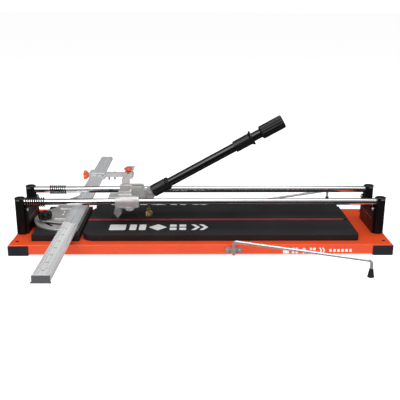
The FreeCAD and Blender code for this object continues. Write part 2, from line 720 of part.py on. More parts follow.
def make_ruler():
    """Extruded ruler: channelled bar with a side rail, and the scale strip on its front part."""
    body = new_body("fence_ruler")
    sketch = new_sketch(body, "XZ_Plane", -d.ruler_rear)
    left, right, low, top = d.ruler_left, d.ruler_right, d.ruler_low, d.ruler_top
    draw_outline(sketch, [(left, low), (d.rail_right, low), (d.rail_right, top - 4), (right, top - 4),
                          (right, top), (left + 26, top), (left + 26, top - 2.5),
                          (left + 22, top - 2.5), (left + 22, top), (left, top)])
    pad(body, sketch, d.ruler_rear - d.ruler_front)
    strip = doc.addObject("PartDesign::Body", "ScaleStrip")
    outline = new_sketch(strip, "XY_Plane", d.ruler_top)
    draw_outline(outline, [(left + 2, d.ruler_front), (right - 1, d.ruler_front), (right - 1, -112),
                           (left + 2, -78)])
    pad(strip, outline, d.scale_top - d.ruler_top)
    dress(strip, "Chamfer", 0.8, at_height(d.scale_top.value))
    holes = [cylinder(1.4, 3.4, (x, y, d.scale_top - 3.4)) for x, y in scale_screw_spots()]
    keep("fence_scale", cut(strip, *holes))
    make_end_cap()


def make_end_cap():
    """Moulded cap over the front end of the ruler, with a wider foot."""
    start = d.ruler_front - d.end_cap
    block = box((d.ruler_left + 1, start, d.end_cap_low),
                (d.rail_right - d.ruler_left - 1, d.end_cap, d.scale_top - d.end_cap_low))
    foot = box((d.ruler_left - 2, start, d.end_cap_low),
               (d.rail_right - d.ruler_left + 4, d.end_cap, 4))
    keep("ruler_end_cap", fuse(block, foot))


def scale_screw_spots():
    return [(d.ruler_left + 9, -150), (d.ruler_left + 9, -440), (d.ruler_right - 12, -440)]


def wing_screw_spots():
    return [(d.ruler_left - 20, y) for y in (-34, 20, 45)]


def countersunk(x, y, top, length, head_rad, shank_rad):
    """A screw with a raised round head on a surface at the height top."""
    head = cone(head_rad, head_rad * 0.6, 2.2, (x, y, top))
    return fuse(head, cylinder(shank_rad, length, (x, y, top - length)))


def make_fence_screws():
    """Round-headed screws of the scale strip and of the ruler's seat, in one node."""
    scale = [countersunk(x, y, d.scale_top, 3.4, 3.2, 1.4) for x, y in scale_screw_spots()]
    wing = [countersunk(x, y, d.wing_top, 3, 3.6, 1.8) for x, y in wing_screw_spots()]
    group("fence_screws", scale + wing)


def star_knob(body, foot_rad, radius, height, lobes, notch_rad, bore_rad):
    """Knob along its own +Z: it widens from its foot, with scalloped lobes and a bore for its stud."""
    sketch = new_sketch(body, "XZ_Plane")
    draw_outline(sketch, [(0, 0), (foot_rad, 0), (radius, height * 0.45), (radius, height - 4),
                          (radius - 3, height - 1), (radius * 0.4, height), (0, height)])
    turned = body.newObject("PartDesign::Revolution", "Revolution")
    turned.Profile = sketch
    turned.ReferenceAxis = (sketch, ["V_Axis"])
    turned.Angle = 360
    doc.recompute()
    notch = new_sketch(body, "XY_Plane", -1)
    draw_circle(notch, (radius + notch_rad * 0.45, 0), notch_rad)
    groove = pocket(body, notch, height + 2, back=True)
    ring = body.newObject("PartDesign::PolarPattern", "Lobes")
    ring.Originals = [groove]
    ring.Axis = (notch, ["N_Axis"])
    ring.Angle = 360
    ring.Occurrences = lobes
    body.Tip = ring
    doc.recompute()
    bore = new_sketch(body, "XY_Plane")
    draw_circle(bore, (0, 0), bore_rad)
    pocket(body, bore, height * 0.6, back=True)


def make_lock():
    """Star knob on a stud whose head runs under the dial's slot."""
    knob = new_body("lock_knob")
    star_knob(knob, 21, 23.5, 20, 6, 8.5, 4)
    place(knob, (d.lock_x, d.lock_y, d.wing_top + 2))
    stud = fuse(cylinder(4, 26, (d.lock_x, d.lock_y, d.mat_top - 0.6)),
                cylinder(7.5, 5, (d.lock_x, d.lock_y, d.mat_top - 5.6)),
                cylinder(9, 1.7, (d.lock_x, d.lock_y, d.wing_top + 0.3)))
    keep("lock_stud", stud)


# ---------------------------------------------------------------- sliding stop

def make_stop_slider():
    """Saddle that wraps the ruler and takes the clamp knob on its left side."""
    gap = 0.35
    low_y, length = d.stop_y - d.stop_half, d.stop_half * 2
    outer = box((d.ruler_left - 9, low_y, d.ruler_low - 5),
                (d.rail_right - d.ruler_left + 16, length, d.ruler_top - d.ruler_low + 12))
    outer = round_edges(outer, 3, lambda e: e.BoundBox.XLength < 0.01 and e.BoundBox.ZLength < 0.01)
    room = box((d.ruler_left - gap, low_y - 1, d.ruler_low - gap),
               (d.rail_right - d.ruler_left + gap * 2, length + 2, d.ruler_top - d.ruler_low + gap * 2))
    split = box((d.ruler_left + 10, low_y - 1, d.ruler_low - 8), (22, length + 2, 10))
    bore = cylinder(3.05, 30, (d.ruler_left - 20, d.stop_y, d.ruler_low + 6), ALONG_X)
    keep("stop_slider", cut(outer, room, split, cut_short(bore)))


def cut_short(tool):
    """Keep only the part of a clamp-screw bore that lies left of the ruler."""
    wall = box((d.ruler_left - 25, d.stop_y - 10, d.ruler_low), (25, 20, 12))
    return common(tool, wall)


def make_stop_knob():
    """Clamp knob on the slider's left, axis along X, with its screw."""
    knob = new_body("stop_knob")
    star_knob(knob, 7.5, 18.5, 22, 3, 12, 3)
    place(knob, (d.ruler_left - 11, d.stop_y, d.ruler_low + 6), Rotation(Y_DIR, -90))
    screw = fuse(cylinder(3, 15, (d.ruler_left - 23.5, d.stop_y, d.ruler_low + 6), ALONG_X),
                 cylinder(6.5, 1.6, (d.ruler_left - 11, d.stop_y, d.ruler_low + 6), ALONG_X))
    keep("stop_screw", screw)


def make_crossbar():
    """Flat bar from the saddle out to the stop arm, screwed on from below."""
    low_z = d.ruler_top + 0.5
    start = d.rail_right + 7
    bar = box((start, d.stop_y - 9, low_z - 14), (d.bar_right - start, 18, 16))
    screws = []
    for x in (-343.5, -322):
        screws.append(fuse(cylinder(3.2, 28, (x, d.stop_y, low_z - 26)),
                           cylinder(5, 2, (x, d.stop_y, low_z + 2))))
    holes = [cylinder(3.2, 40, (x, d.stop_y, low_z - 28)) for x in (-343.5, -322)]
    keep("stop_crossbar", cut(bar, *holes))
    group("crossbar_screws", screws)


def middle_of_arm():
    return (d.stop_arm_left + d.stop_arm_right) / 2


def make_stop_arm():
    """Flat arm along Y above the crossbar, slotted for its clamp stud, with an end lip."""
    low, top = d.stop_arm_low, d.stop_arm_top
    length = d.stop_arm_rear - d.stop_arm_front
    arm = box((d.stop_arm_left, d.stop_arm_front, low),
              (d.stop_arm_right - d.stop_arm_left, length, top - low))
    lip = box((d.stop_arm_left, d.stop_arm_front, low - 18),
              (d.stop_arm_right - d.stop_arm_left, 5, 20))
    slot = box((middle_of_arm() - 3.4, d.stop_arm_front + 30, low - 1),
               (6.8, length - 50, top - low + 2))
    shoe = box((d.bar_right, d.arm_stud_y - 17, d.ruler_low),
               (d.stop_arm_right - d.bar_right + 2.5, 48, low - d.ruler_low - 0.3))
    shoe = round_edges(shoe, 3, lambda e: (e.BoundBox.ZLength > 10
                                           and e.BoundBox.XMin > d.bar_right.value + 5))
    shoe_hole = cylinder(3.05, 40, (middle_of_arm(), d.arm_stud_y, low - 30))
    keep("stop_arm", cut(fuse(arm, lip), slot))
    keep("arm_shoe", cut(shoe, shoe_hole))


def make_arm_knob():
    """Three-lobed knob above the arm, with its stud down into the crossbar."""
    knob = new_body("arm_knob")
    star_knob(knob, 7.5, 17, 17, 3, 12, 3)
    place(knob, (middle_of_arm(), d.arm_stud_y, d.stop_arm_top + 1.5))
    low = d.ruler_top - 10
    stud = fuse(cylinder(3, d.stop_arm_top + 11 - low, (middle_of_arm(), d.arm_stud_y, low)),
                cylinder(9, 1.2, (middle_of_arm(), d.arm_stud_y, d.stop_arm_top + 0.3)))
    keep("arm_stud", stud)


# ---------------------------------------------------------------- side arms

def bent_wire(points, bend, radius):
    """Round wire along straight runs, with a bend of one radius at each inner point."""
    edges = []
    here = points[0]
    for before, corner, after in zip(points, points[1:], points[2:]):
        first = (corner - before).normalize()
        second = (after - corner).normalize()
        half = first.getAngle(second) / 2
        back = bend * math.tan(half)
        start, end = corner - first * back, corner + second * back
        inward = (second - first).normalize()
        middle = corner + inward * (bend / math.cos(half) - bend)
        edges.append(Part.LineSegment(here, start).toShape())
        edges.append(Part.Arc(start, middle, end).toShape())
        here = end
    edges.append(Part.LineSegment(here, points[-1]).toShape())
    path = Part.Wire(edges)
    direction = points[1] - points[0]
    section = Part.Wire(Part.makeCircle(radius, points[0], direction))
    return path.makePipeShell([section], True, False)


def make_side_arm(row, pivot_x, depth, turn):
    """Wire arm on an upright pivot, with a leg down to the bench and a rubber tip."""
    x, y = pivot_x.value, d.arm_off.value * depth
    high = d.arm_high.value
    angle = math.radians(turn.value)
    end = Vector(x + d.arm_reach.value * math.cos(angle), y + d.arm_reach.value * math.sin(angle), 0)
    points = [Vector(x, y, 5), Vector(x, y, high), Vector(end.x, end.y, high), Vector(end.x, end.y, 3)]
    wire = doc.addObject("Part::Feature", "Wire")
    wire.Shape = bent_wire(points, 8, d.arm_wire_rad.value)
    wire.Placement = Placement()
    keep(f"side_arm_{row}", wire)
    tip = cone(9, 6.5, 24, (end.x, end.y, 0))
    room = cylinder(d.arm_wire_rad, 30, (end.x, end.y, 3))
    keep(f"arm_tip_{row}", cut(tip, room))
    make_arm_bracket(row, pivot_x, depth)


def make_arm_bracket(row, pivot_x, depth):
    """Strap riveted to the tray's flange, formed round the pivot of a side arm."""
    flange = d.base_deep / 2
    off = d.arm_off
    strap_low, strap_high = 9, 14
    thick = 2
    face_y = flange if depth > 0 else -(flange + thick)
    strap = box((pivot_x - 24, face_y, strap_low), (48, thick, strap_high))
    around = cylinder(d.arm_wire_rad + thick, strap_high, (pivot_x, off * depth, strap_low))
    reach = off - flange
    neck_y = flange if depth > 0 else -off
    neck = box((pivot_x - 6, neck_y, strap_low), (12, reach, strap_high))
    bore = cylinder(d.arm_wire_rad + d.fit, 40, (pivot_x, off * depth, 0))
    keep(f"arm_bracket_{row}", cut(fuse(strap, around, neck), bore))


def make_rivets():
    """Round-headed rivets that hold both straps to the flanges."""
    rivets = []
    for pivot_x, depth in ((d.front_arm_x, -1), (d.rear_arm_x, 1)):
        face = (d.base_deep / 2 + 2) * depth
        turn = Rotation(X_DIR, 90 if depth < 0 else -90)
        for side in (-1, 1):
            rivets.append(cone(3.4, 1.8, 1.8, (pivot_x + 17 * side, face, 16), turn))
    group("bracket_rivets", rivets)


# ---------------------------------------------------------------- the assembly

make_base_tray()
make_feet()
make_mats()
make_plinth()
make_rib()
make_supports()
make_support_screws()
make_rods()
make_spring("bumper_spring_front", d.front_coil_x, -1, 9)
make_spring("bumper_spring_rear", d.rear_coil_x, 1, 8)
make_carriage()
make_bushes()
headed_pin("handle_pivot_pin", d.pivot_rad, d.pivot_x, d.pivot_z, d.ear_out + 0.1, 8, 3)
headed_pin("breaker_pin", d.break_pin_rad, d.break_x, d.break_z, 12.5, 4.6, 2)
make_lever()
make_handle()
make_wheel_holder()
make_wheel()
make_breaker()
make_protractor()
make_fence_wing()
make_ruler()
make_fence_screws()
make_lock()
make_stop_slider()
make_stop_knob()
make_crossbar()
make_stop_arm()
make_arm_knob()
make_side_arm("front", d.front_arm_x, -1, d.front_arm_turn)
make_side_arm("rear", d.rear_arm_x, 1, d.rear_arm_turn)
make_rivets()
doc.recompute()

for obj in doc.Objects:
    if "Invalid" in obj.State or "Error" in obj.State:
        raise RuntimeError(f"{obj.Name} ({obj.Label}) failed: {obj.State}")
for piece in subparts:
    if piece.Shape.isNull() or not piece.Shape.isValid():
        raise RuntimeError(f"{piece.Label} has no valid shape")

os.makedirs("parts", exist_ok=True)
for piece in subparts:
    piece.Shape.exportStep(f"parts/{piece.Label}.step")
print(f"{len(subparts)} pieces written")
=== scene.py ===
"""Looks of the tile cutter: materials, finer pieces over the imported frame, studio and camera."""
import json
import math

import bmesh
import bpy
from mathutils import Matrix, Vector


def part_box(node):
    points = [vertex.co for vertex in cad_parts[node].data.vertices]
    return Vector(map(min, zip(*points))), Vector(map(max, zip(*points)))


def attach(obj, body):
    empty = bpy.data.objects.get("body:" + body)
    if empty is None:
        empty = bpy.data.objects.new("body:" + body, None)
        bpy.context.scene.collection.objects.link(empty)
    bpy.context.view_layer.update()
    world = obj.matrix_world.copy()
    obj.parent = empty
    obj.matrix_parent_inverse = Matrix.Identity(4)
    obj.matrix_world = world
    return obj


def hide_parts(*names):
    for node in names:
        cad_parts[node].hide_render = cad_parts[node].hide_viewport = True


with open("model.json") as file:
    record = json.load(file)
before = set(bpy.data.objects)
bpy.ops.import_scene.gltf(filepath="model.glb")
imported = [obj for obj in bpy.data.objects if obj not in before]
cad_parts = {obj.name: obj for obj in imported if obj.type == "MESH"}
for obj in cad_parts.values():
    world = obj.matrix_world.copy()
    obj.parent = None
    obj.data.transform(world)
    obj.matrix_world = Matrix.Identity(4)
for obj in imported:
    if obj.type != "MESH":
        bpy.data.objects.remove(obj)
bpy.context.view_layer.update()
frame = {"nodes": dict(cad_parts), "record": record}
NODES = frame["nodes"]
BODY_OF = {n: body for body, names in frame["record"]["behaviour"]["bodies"].items() for n in names}
SLOT_OF = {s["node"]: s["material_slot"] for s in frame["record"]["subparts"]}
MM = 0.001
PRINT_PROUD = 0.25 * MM
LINE_PROUD = 0.08 * MM
SUNK = 0.1 * MM
X, Y, Z = Vector((1, 0, 0)), Vector((0, 1, 0)), Vector((0, 0, 1))


# ------------------------------------------------------------------ materials

class Shader:
    """A Principled material with helpers for object-space noise, colour, roughness and bump."""

    def __init__(self, name, **constants):
        self.material = bpy.data.materials.new(name)
        self.material.use_nodes = True
        self.tree = self.material.node_tree
        self.surface = self.tree.nodes["Principled BSDF"]
        for socket, value in constants.items():
            self.surface.inputs[socket.replace("_", " ")].default_value = value
        self.place = self.node("ShaderNodeTexCoord").outputs["Object"]

    def node(self, kind, **settings):
        made = self.tree.nodes.new(kind)
        for key, value in settings.items():
            setattr(made, key, value)
        return made

    def link(self, source, target):
        self.tree.links.new(source, target)

    def stretched(self, scale):
        mapping = self.node("ShaderNodeMapping")
        mapping.inputs["Scale"].default_value = scale
        self.link(self.place, mapping.inputs["Vector"])
        return mapping.outputs["Vector"]

    def noise(self, scale, detail=4.0, stretch=None, rough=0.55):
        tex = self.node("ShaderNodeTexNoise")
        tex.inputs["Scale"].default_value = scale
        tex.inputs["Detail"].default_value = detail
        tex.inputs["Roughness"].default_value = rough
        self.link(self.stretched(stretch) if stretch else self.place, tex.inputs["Vector"])
        return tex.outputs["Fac"]

    def cells(self, scale):
        tex = self.node("ShaderNodeTexVoronoi")
        tex.inputs["Scale"].default_value = scale
        self.link(self.place, tex.inputs["Vector"])
        return tex.outputs["Distance"]

    def spread(self, source, low, high, start=0.3, end=0.7):
        span = self.node("ShaderNodeMapRange")
        span.inputs["From Min"].default_value = start
        span.inputs["From Max"].default_value = end
        span.inputs["To Min"].default_value = low
        span.inputs["To Max"].default_value = high
        self.link(source, span.inputs["Value"])
        return span.outputs["Result"]

    def tint(self, source, stops):
        ramp = self.node("ShaderNodeValToRGB")
        elements = ramp.color_ramp.elements
        while len(elements) < len(stops):
            elements.new(0.5)
        for element, (place, colour) in zip(elements, stops):
            element.position = place
            element.color = (*colour, 1)
        self.link(source, ramp.inputs["Fac"])
        return ramp.outputs["Color"]

    def colour(self, source):
        self.link(source, self.surface.inputs["Base Color"])

    def roughness(self, source):
        self.link(source, self.surface.inputs["Roughness"])

    def bump(self, layers):
        """layers: (height source, distance in metres, strength), laid one over the other."""
        normal = None
        for source, distance, strength in layers:
            bump = self.node("ShaderNodeBump")
            bump.inputs["Distance"].default_value = distance
            bump.inputs["Strength"].default_value = strength
            self.link(source, bump.inputs["Height"])
            if normal is not None:
                self.link(normal, bump.inputs["Normal"])
            normal = bump.outputs["Normal"]
        self.link(normal, self.surface.inputs["Normal"])


def shade(colour, factor):
    return tuple(min(1.0, c * factor) for c in colour)


def painted(name, colour, rough, peel=0.00012, coat=0.0, spread=0.12, shine=0.5):
    """Sprayed or powder-coated steel: orange-peel bump, faint patchiness and dust."""
    shader = Shader(name, Coat_Weight=coat, Coat_Roughness=0.15, Specular_IOR_Level=shine)
    patches = shader.noise(9, 5)
    shader.colour(shader.tint(patches, [(0.3, shade(colour, 1 - spread)), (0.7, shade(colour, 1 + spread))]))
    shader.roughness(shader.spread(shader.noise(30, 6), rough - 0.07, rough + 0.09))
    shader.bump([(shader.noise(420, 2), peel, 0.35), (shader.noise(1500, 2), peel * 0.3, 0.3)])
    return shader.material


def moulded(name, colour, rough, grain=900, depth=0.00006, coat=0.0):
    """Moulded plastic or rubber with a spark-eroded grain."""
    shader = Shader(name, Coat_Weight=coat, Coat_Roughness=0.2)
    patches = shader.noise(22, 4)
    shader.colour(shader.tint(patches, [(0.25, shade(colour, 0.82)), (0.75, shade(colour, 1.2))]))
    shader.roughness(shader.spread(shader.noise(70, 5), rough - 0.06, rough + 0.08))
    shader.bump([(shader.noise(grain, 3), depth, 0.5), (shader.cells(grain * 1.6), depth * 0.5, 0.25)])
    return shader.material


def blasted(name, colour, rough, metallic=0.75):
    """Blasted die casting: fine pitted grain, slow waviness and darker hollows."""
    shader = Shader(name, Metallic=metallic)
    wave, pits = shader.noise(26, 5), shader.noise(650, 3)
    stops = [(0.2, shade(colour, 0.8)), (0.55, colour), (0.85, shade(colour, 1.12))]
    shader.colour(shader.tint(wave, stops))
    shader.roughness(shader.spread(pits, rough - 0.08, rough + 0.12))
    shader.bump([(wave, 0.0004, 0.25), (pits, 0.00012, 0.5), (shader.cells(900), 0.00006, 0.35)])
    return shader.material


def drawn(name, colour, rough, along, metallic=0.9):
    """Drawn or extruded metal: die lines run along one axis."""
    shader = Shader(name, Metallic=metallic)
    stretch = tuple(2.0 if axis == along else 420.0 for axis in "xyz")
    lines = shader.noise(1.0, 4, stretch=stretch)
    fine = shader.noise(3.1, 2, stretch=stretch)
    shader.colour(shader.tint(lines, [(0.3, shade(colour, 0.86)), (0.7, shade(colour, 1.08))]))
    shader.roughness(shader.spread(lines, rough - 0.07, rough + 0.1))
    shader.bump([(lines, 0.00004, 0.35), (fine, 0.00002, 0.3), (shader.noise(60, 3), 0.00005, 0.15)])
    return shader.material


def plated(name, colour, rough, metallic=1.0, streak=None):
    """Plated steel: soft cloudiness, fine pits and, where asked, polishing streaks."""
    shader = Shader(name, Metallic=metallic)
    cloud = shader.noise(40, 5)
    shader.colour(shader.tint(cloud, [(0.3, shade(colour, 0.93)), (0.7, shade(colour, 1.05))]))
    if streak:
        streaks = shader.noise(1.0, 5, stretch=streak)
        shader.roughness(shader.spread(streaks, rough * 0.6, rough * 1.7))
        shader.bump([(streaks, 0.00001, 0.2)])
    else:
        shader.roughness(shader.spread(cloud, rough * 0.75, rough * 1.35))
        shader.bump([(shader.noise(700, 2), 0.00003, 0.25)])
    return shader.material


def matting(name, colour, rough):
    """Closed-cell rubber sheet: a fine pebbled skin with faint lengthwise rolling marks."""
    shader = Shader(name, Specular_IOR_Level=0.3)
    dust, roll = shader.noise(7, 6), shader.noise(1.0, 3, stretch=(5.0, 160.0, 160.0))
    shader.colour(shader.tint(dust, [(0.3, shade(colour, 0.8)), (0.7, shade(colour, 1.25))]))
    shader.roughness(shader.spread(dust, rough - 0.06, rough + 0.1))
    pebbles, grit = shader.cells(700), shader.noise(1300, 2)
    shader.bump([(pebbles, 0.00012, 0.45), (roll, 0.00008, 0.2), (grit, 0.00005, 0.4)])
    return shader.material


FINISH = {
    "orange_paint": painted("orange_paint", (0.93, 0.088, 0.018), 0.34, coat=0.3, spread=0.05),
    "foot_plastic": moulded("foot_plastic", (0.018, 0.022, 0.032), 0.5),
    "mat_rubber": matting("mat_rubber", (0.016, 0.0165, 0.018), 0.6),
    "rib_red": moulded("rib_red", (0.36, 0.022, 0.035), 0.45),
    "black_post": painted("black_post", (0.005, 0.005, 0.0055), 0.4, coat=0.05, shine=0.3),
    "zinc": plated("zinc", (0.74, 0.75, 0.77), 0.3, metallic=0.7),
    "chrome": plated("chrome", (0.8, 0.81, 0.83), 0.06, streak=(4.0, 700.0, 700.0)),
    "spring_steel": plated("spring_steel", (0.035, 0.035, 0.037), 0.35, metallic=0.8),
    "cast_alloy": blasted("cast_alloy", (0.66, 0.65, 0.635), 0.42, metallic=0.55),
    "extruded_alloy": drawn("extruded_alloy", (0.82, 0.83, 0.845), 0.36, "y", metallic=0.35),
    "bush_bronze": plated("bush_bronze", (0.5, 0.33, 0.15), 0.4),
    "handle_paint": painted("handle_paint", (0.004, 0.004, 0.0045), 0.22, peel=0.00006, coat=0.4),
    "grip_plastic": moulded("grip_plastic", (0.006, 0.006, 0.007), 0.36),
    "brass": plated("brass", (0.55, 0.42, 0.17), 0.28),
    "hard_steel": plated("hard_steel", (0.5, 0.5, 0.51), 0.24),
    "knob_orange": moulded("knob_orange", (0.88, 0.13, 0.045), 0.3, depth=0.00003, coat=0.3),
    "tip_rubber": moulded("tip_rubber", (0.014, 0.014, 0.016), 0.66),
    "cap_grey": moulded("cap_grey", (0.11, 0.11, 0.115), 0.5),
    "lid_plastic": moulded("lid_plastic", (0.012, 0.012, 0.013), 0.3, coat=0.3),
    # collar_grey also colours the grey bands under the post lids, which are painted highlight, and the thin
    # light lines along the end plates.
    "collar_grey": plated("collar_grey", (0.3, 0.3, 0.3), 0.4, metallic=0.6),
    "print_white": painted("print_white", (0.9, 0.9, 0.89), 0.5, peel=0.00004),
    "mark_black": painted("mark_black", (0.05, 0.05, 0.052), 0.5, peel=0.00003),
    "scale_bright": drawn("scale_bright", (0.93, 0.94, 0.955), 0.32, "y", metallic=0.25),
    "wheel_gold": plated("wheel_gold", (0.8, 0.58, 0.2), 0.22),
}

for node_name, node in NODES.items():
    node.data.materials.clear()
    node.data.materials.append(FINISH[SLOT_OF[node_name]])
NODES["fence_scale"].data.materials[0] = FINISH["scale_bright"]
NODES["scoring_wheel"].data.materials[0] = FINISH["wheel_gold"]


# ------------------------------------------------------------------ mesh helpers

def finish_mesh(mesh, name):
    """Close a bmesh into mesh data with its faces turned outward."""
    bmesh.ops.recalc_face_normals(mesh, faces=mesh.faces[:])
    data = bpy.data.meshes.new(name)
    mesh.to_mesh(data)
    mesh.free()
    return data


def smooth_shading(data, sharp=38):
    for polygon in data.polygons:
        polygon.use_smooth = True
    data.set_sharp_from_angle(angle=math.radians(sharp))


def add_piece(name, data, body, finish, replaces=()):
    """Make a mesh into a piece that rides on a body and takes its finish from a slot."""
    piece = bpy.data.objects.new(name, data)
    bpy.context.scene.collection.objects.link(piece)
    data.materials.clear()
    data.materials.append(FINISH[finish])
    smooth_shading(data)
    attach(piece, body)
    if replaces:
        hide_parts(*replaces)


def skin_rings(mesh, rings, closed=False):
    """Join closed rings of points into a tube with flat ends, or into a hoop when closed."""
    verts = [[mesh.verts.new(p) for p in ring] for ring in rings]
    joined = verts + verts[:1] if closed else verts
    for low, high in zip(joined, joined[1:]):
        for i, vert in enumerate(low):
            j = (i + 1) % len(low)
            mesh.faces.new((vert, low[j], high[j], high[i]))
    if not closed:
        mesh.faces.new(verts[0][::-1])
        mesh.faces.new(verts[-1])


def turned(mesh, centre, axis, profile, steps=48, lobes=0, depth=0.0, closed=False):
    """Surface about an axis from (distance, radius) pairs, with lobes cut into its wide part."""
    side = axis.orthogonal().normalized()
    other = axis.cross(side)
    widest = max(radius for _, radius in profile)
    rings = []
    for distance, radius in profile:
        ring = []
        for i in range(steps):
            angle = math.tau * i / steps
            hollow = (0.5 - 0.5 * math.cos(lobes * angle)) ** 1.6 if lobes else 0
            reach = radius * (1 - depth * hollow * (radius / widest) ** 2)
            spoke = side * math.cos(angle) + other * math.sin(angle)
            ring.append(centre + axis * distance + spoke * reach)
        rings.append(ring)
    skin_rings(mesh, rings, closed)


def slab(mesh, centre, half_x, half_y, low, high, turn=0.0, corner=0.0):
    """Flat plate parallel to the floor, with rounded corners where asked."""
    points = []
    for sx, sy, start in ((1, 1, 0), (-1, 1, 90), (-1, -1, 180), (1, -1, 270)):
        steps = 5 if corner else 1
        for i in range(steps):
            angle = math.radians(start + 90 * i / max(1, steps - 1))
            points.append((sx * (half_x - corner) + corner * math.cos(angle),
                           sy * (half_y - corner) + corner * math.sin(angle)))
    spin = Matrix.Rotation(turn, 2)
    outline = [spin @ Vector(p) for p in points]
    rings = [[Vector((centre[0] + p.x, centre[1] + p.y, z)) for p in outline] for z in (low, high)]
    skin_rings(mesh, rings)


def add_number(mesh, text, size, place):
    """Numerals as a thin raised plate, laid with the matrix place."""
    curve = bpy.data.curves.new("numerals", "FONT")
    curve.body = text
    curve.size = size
    curve.extrude = 0.06 * MM
    curve.align_x = "CENTER"
    curve.align_y = "CENTER"
    holder = bpy.data.objects.new("numerals", curve)
    data = bpy.data.meshes.new_from_object(holder)
    data.transform(place)
    mesh.from_mesh(data)
    bpy.data.meshes.remove(data)
    bpy.data.objects.remove(holder)
    bpy.data.curves.remove(curve)


def corners(name):
    """Lowest and highest corner of a CAD node, in metres."""
    low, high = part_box(name)
    return Vector(low), Vector(high)


def middle(name):
    low, high = corners(name)
    return (low + high) / 2


# ------------------------------------------------------------------ CAD nodes: rounding

def round_castings():
    """Replace each sand or die casting with a remeshed copy whose edges have run round."""
    grain = {"carriage_body": 1.3, "handle_lever": 1.1, "breaker_foot": 0.9, "fence_wing": 1.3,
             "protractor_dial": 1.2, "stop_slider": 1.1, "arm_shoe": 1.1}
    for name, voxel in grain.items():
        copy = bpy.data.objects.new(f"{name}_cast", NODES[name].data.copy())
        bpy.context.scene.collection.objects.link(copy)
        remesh = copy.modifiers.new("Remesh", "REMESH")
        remesh.mode = "VOXEL"
        remesh.voxel_size = voxel * MM
        remesh.use_smooth_shade = True
        smooth = copy.modifiers.new("Smooth", "SMOOTH")
        smooth.factor = 0.5
        smooth.iterations = 4
        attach(copy, BODY_OF[name])
        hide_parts(name)


def soften(names, width, segments=2):
    """Round the edges of CAD nodes a little, so that they catch the light."""
    for name in names:
        node = NODES[name]
        weld = node.modifiers.new("Weld", "WELD")
        weld.merge_threshold = 1e-6
        merge = node.modifiers.new("Merge", "DECIMATE")
        merge.decimate_type = "DISSOLVE"
        merge.angle_limit = math.radians(1)
        bevel = node.modifiers.new("Bevel", "BEVEL")
        bevel.width = width * MM
        bevel.segments = segments
        bevel.limit_method = "ANGLE"
        bevel.angle_limit = math.radians(32)
        node.modifiers.new("Normals", "WEIGHTED_NORMAL")


# ------------------------------------------------------------------ base: prints and trims

def tile_signs(mesh, centre, pitch, half, low, high):
    """A row of tile signs: whole, halved, on its corner, quartered, and an arrow along the cut."""
    gap = half * 0.16
    first = centre - X * pitch * 2
    slab(mesh, first, half, half, low, high, corner=half * 0.2)
    second = centre - X * pitch
    for side in (-1, 1):
        slab(mesh, second + X * side * (half + gap) / 2, (half - gap) / 2, half, low, high, corner=gap)
    slab(mesh, centre, half * 0.8, half * 0.8, low, high, turn=math.radians(45), corner=gap)
    fourth = centre + X * pitch
    for sx, sy in ((1, 1), (-1, 1), (-1, -1), (1, -1)):
        spot = fourth + (X * sx + Y * sy) * (half + gap) / 2
        slab(mesh, spot, (half - gap) / 2, (half - gap) / 2, low, high, corner=gap)
    fifth = centre + X * pitch * 2
    for step in (-0.5, 0.5):
        arrow = [(-0.35, 1), (0.15, 1), (0.75, 0), (0.15, -1), (-0.35, -1), (0.25, 0)]
        base = fifth + X * step * half
        skin_rings(mesh, [[Vector((base.x + x * half, base.y + y * half, z)) for x, y in arrow]
                          for z in (low, high)])


def print_signs():
    """Light tile signs on the front mat and, smaller and upright, on the front flange."""
    low, high = corners("mat_front")
    from_left, pitch, half = 218 * MM, 60 * MM, 24.5 * MM
    centre = Vector((low.x + from_left, (low.y + high.y) / 2, 0))
    mesh = bmesh.new()
    tile_signs(mesh, centre, pitch, half, high.z - SUNK, high.z + PRINT_PROUD)
    add_piece("mat_signs", finish_mesh(mesh, "mat_signs"), "base", "print_white")
    low, high = corners("base_tray")
    from_right, dots_from_right, dot_pitch = 255 * MM, 178 * MM, 11.5 * MM
    mesh = bmesh.new()
    tile_signs(mesh, Vector((high.x - from_right, 0, 0)), 25.5 * MM, 8.5 * MM, -SUNK / 2, PRINT_PROUD)
    for i in range(6):
        spot = Vector((high.x - dots_from_right + dot_pitch * i, 0, 0))
        slab(mesh, spot, 3.5 * MM, 4.5 * MM, -SUNK / 2, PRINT_PROUD, corner=MM)
    data = finish_mesh(mesh, "flange_signs")
    stand = Matrix.Translation(Vector((0, low.y, 14 * MM))) @ Matrix.Rotation(math.radians(90), 4, "X")
    data.transform(stand)
    add_piece("flange_signs", data, "base", "print_white")


def trim_posts():
    """Turned lids for the posts, each over a grey band that is a painted highlight of the light on the lid's
    rim.
    """
    low, high = corners("post_caps")
    foot, top = low.z, high.z
    lids, highlight_bands = bmesh.new(), bmesh.new()
    for name in ("post_front_left", "post_front_right", "post_rear_left", "post_rear_right"):
        post_low, post_high = corners(name)
        radius = (post_high.y - post_low.y) / 2
        side = 1 if post_low.x > 0 else -1
        outer = post_high.x if side > 0 else post_low.x
        centre = Vector((outer - radius * side, (post_low.y + post_high.y) / 2, 0))
        # collar is the radius of the grey band under the lid: a painted highlight, not a part of the post.
        rim, collar = radius + 0.6 * MM, radius + 0.3 * MM
        turned(lids, centre, Z, [(foot - 0.5 * MM, rim), (foot, rim + 0.1 * MM), (top - 1.2 * MM, rim),
                                 (top - 0.4 * MM, rim - 0.7 * MM), (top, rim - 2.2 * MM),
                                 (top - 0.3 * MM, rim - 4 * MM), (top - 0.3 * MM, 2 * MM)], 56)
        turned(highlight_bands, centre, Z, [(foot - 4.5 * MM, radius), (foot - 4.2 * MM, collar),
                                    (foot - 0.8 * MM, collar), (foot - 0.5 * MM, radius)], 56)
    add_piece("post_lids", finish_mesh(lids, "post_lids"), "base", "lid_plastic",
              replaces=("post_caps",))
    add_piece("post_highlight_bands", finish_mesh(highlight_bands, "post_highlight_bands"), "base", "collar_grey")


